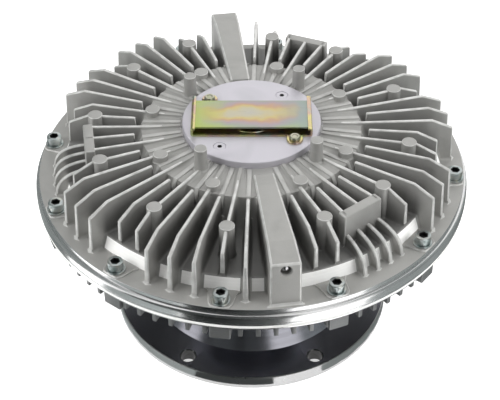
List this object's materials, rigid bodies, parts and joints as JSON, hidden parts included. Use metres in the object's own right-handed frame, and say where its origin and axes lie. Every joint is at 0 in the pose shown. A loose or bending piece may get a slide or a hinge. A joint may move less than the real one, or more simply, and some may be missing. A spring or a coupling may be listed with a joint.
{
  "type": "viscous fan clutch",
  "caption": "Finned viscous fan clutch: die-cast housing with fluid coupling and bimetal control, turning on a steel hub with a bolt flange.",
  "frame": {"origin": "centre of the drive flange underside, on the spin axis", "axes": "+Z along the spin axis from the drive flange to the bimetal strip; -Y faces the viewer of the picture"},
  "size_m": [0.3, 0.3, 0.171],
  "materials": {
    "forged_steel": "dark polished forging",
    "bearing_steel": "ground",
    "spring_steel": "satin",
    "zinc_steel": "bright zinc plating",
    "centre_zinc": "pale satin zinc plating",
    "yellow_chromate": "yellow passivated zinc",
    "bimetal": "satin with heat colours",
    "cast_aluminium": "die-cast, lightly blasted",
    "machined_aluminium": "turned",
    "bush_brass": "turned",
    "cage_plastic": "glass-filled polyamide",
    "seal_rubber": "moulded"
  },
  "bodies": {
    "hub": {"drive_hub": "forged_steel", "bearing_inner_ring": "bearing_steel", "rotor_disc": "machined_aluminium", "rotor_nut": "zinc_steel"},
    "ball_train": {"bearing_balls": "bearing_steel", "bearing_cage": "cage_plastic"},
    "housing": {"rear_housing": "cast_aluminium", "front_cover": "cast_aluminium", "bearing_outer_ring": "bearing_steel", "bearing_seals": "seal_rubber", "bearing_snap_ring": "spring_steel", "channel_plugs": "bearing_steel", "cover_seal": "seal_rubber", "cover_screws": "zinc_steel", "cover_washers": "zinc_steel", "divider_plate": "zinc_steel", "divider_screws": "zinc_steel", "leaf_clamp": "zinc_steel", "leaf_rivets": "zinc_steel", "pin_bush": "bush_brass", "pin_seal": "seal_rubber", "centre_plate": "centre_zinc", "centre_screws": "zinc_steel", "strip_holder": "yellow_chromate", "holder_rivets": "yellow_chromate", "bimetal_strip": "bimetal"},
    "pin": {"control_pin": "bearing_steel"},
    "leaf": {"valve_leaf": "spring_steel"}
  },
  "joints": [
    {"name": "housing_spin", "type": "hinge", "parent": "hub", "child": "housing", "pos_m": [0, 0, 0.098], "axis": [0, 0, 1], "continuous": true},
    {"name": "ball_train_spin", "type": "hinge", "parent": "hub", "child": "ball_train", "pos_m": [0, 0, 0.098], "axis": [0, 0, 1], "continuous": true},
    {"name": "pin_slide", "type": "slide", "parent": "housing", "child": "pin", "axis": [0, 0, 1], "range_m": [0, 0.0015], "stiffness_N_per_m": 600, "deforming": ["bimetal_strip"]},
    {"name": "leaf_lift", "type": "hinge", "parent": "housing", "child": "leaf", "pos_m": [-0.027, 0, 0.1305], "axis": [0, -1, 0], "range_deg": [0, 2.9]}
  ],
  "couplings": [
    {"joint": "ball_train_spin", "follows": "housing_spin", "ratio": 0.5907},
    {"joint": "leaf_lift", "follows": "pin_slide", "rad_per_m": 33.333}
  ]
}
